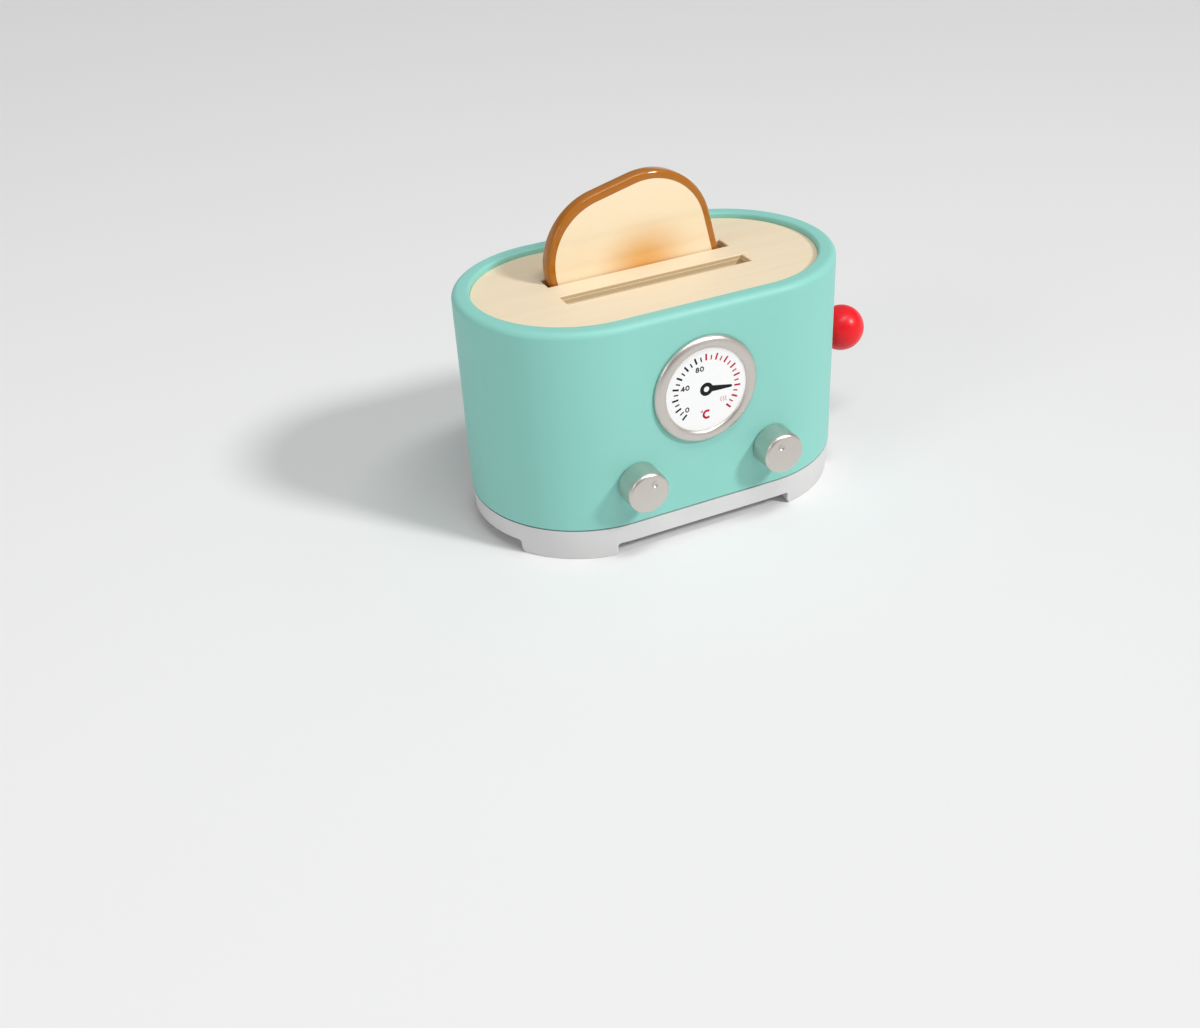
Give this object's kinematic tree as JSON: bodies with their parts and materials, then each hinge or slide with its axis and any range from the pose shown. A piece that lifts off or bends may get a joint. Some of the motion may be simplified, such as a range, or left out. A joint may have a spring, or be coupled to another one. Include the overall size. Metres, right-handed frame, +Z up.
{
  "type": "toy toaster",
  "caption": "Toy pop-up toaster with a plywood top, push-down lever, dial, turning knobs and a slice of toast.",
  "frame": {"origin": "bottom centre of the whole toy's box, on the surface it stands on", "axes": "+X along the toaster towards the lever, -Y towards the dial and knobs, +Z up"},
  "size_m": [0.2302, 0.1336, 0.1684],
  "materials": {
    "turquoise_shell": "satin turquoise paint",
    "plywood": "fine sanded birch plywood with bare layered edges",
    "grey_base": "fine matt pale grey",
    "silver_trim": "satin silver metallised plastic",
    "dial_print": "white disc with a printed scale",
    "ball_paint": "gloss red lacquer on wood",
    "toast_wood": "painted board with a gloss brown crust",
    "inner_plastic": "plain moulded",
    "rod_steel": "ground",
    "rack_steel": "zinc plated",
    "yoke_steel": "plain",
    "screw_steel": "zinc plated",
    "coil_copper": "enamelled copper wire",
    "contact_brass": "bare",
    "contact_nickel": "nickel plated",
    "board_green": "solder mask",
    "chip_black": "moulded",
    "speaker_paper": "pressed paper cone"
  },
  "bodies": {
    "toaster_body": {"housing": "turquoise_shell", "top_plate": "plywood", "plate_screws": "screw_steel", "base": "grey_base", "base_screws": "screw_steel", "bread_chute": "inner_plastic", "chute_screws": "screw_steel", "guide_rods": "rod_steel", "return_springs": "rod_steel", "dial_bezel": "silver_trim", "dial_face": "dial_print", "dial_back": "inner_plastic", "speaker_frame": "yoke_steel", "speaker_cone": "speaker_paper", "circuit_board": "board_green", "board_parts": "chip_black", "board_screws": "screw_steel", "magnet_yoke": "yoke_steel", "magnet_coil": "coil_copper", "contact_block": "chip_black", "contact_blades": "contact_brass", "cell_plates": "contact_nickel", "cell_springs": "contact_nickel"},
    "lever_unit": {"carriage": "inner_plastic", "front_rack": "rack_steel", "rear_rack": "rack_steel", "rack_screws": "screw_steel", "lever_arm": "rod_steel", "lever_ball": "ball_paint", "armature_plate": "yoke_steel"},
    "toast_slice": {"toast": "toast_wood"},
    "left_knob_unit": {"left_knob": "silver_trim", "left_knob_washer": "inner_plastic", "left_knob_screw": "screw_steel"},
    "right_knob_unit": {"right_knob": "silver_trim", "right_knob_washer": "inner_plastic", "right_knob_screw": "screw_steel"},
    "battery_cover": {"battery_door": "grey_base", "door_screws": "screw_steel"}
  },
  "joints": [
    {"name": "lever_push", "type": "slide", "parent": "toaster_body", "child": "lever_unit", "axis": [0, 0, -1], "range_m": [0, 0.035], "stiffness_N_per_m": 60, "springref_m": -0.05, "deforming": ["return_springs"]},
    {"name": "toast_lift", "type": "slide", "parent": "lever_unit", "child": "toast_slice", "axis": [-0.2334, 0, 0.9724], "range_m": [0, 0.1]},
    {"name": "left_knob_turn", "type": "hinge", "parent": "toaster_body", "child": "left_knob_unit", "pos_m": [-0.05285, -0.0522, 0.0406], "axis": [0, -1, 0], "continuous": true},
    {"name": "right_knob_turn", "type": "hinge", "parent": "toaster_body", "child": "right_knob_unit", "pos_m": [0.02255, -0.0522, 0.0406], "axis": [0, -1, 0], "continuous": true},
    {"name": "battery_door_off", "type": "slide", "parent": "toaster_body", "child": "battery_cover", "axis": [0, 0, -1], "range_m": [0, 0.03]}
  ]
}
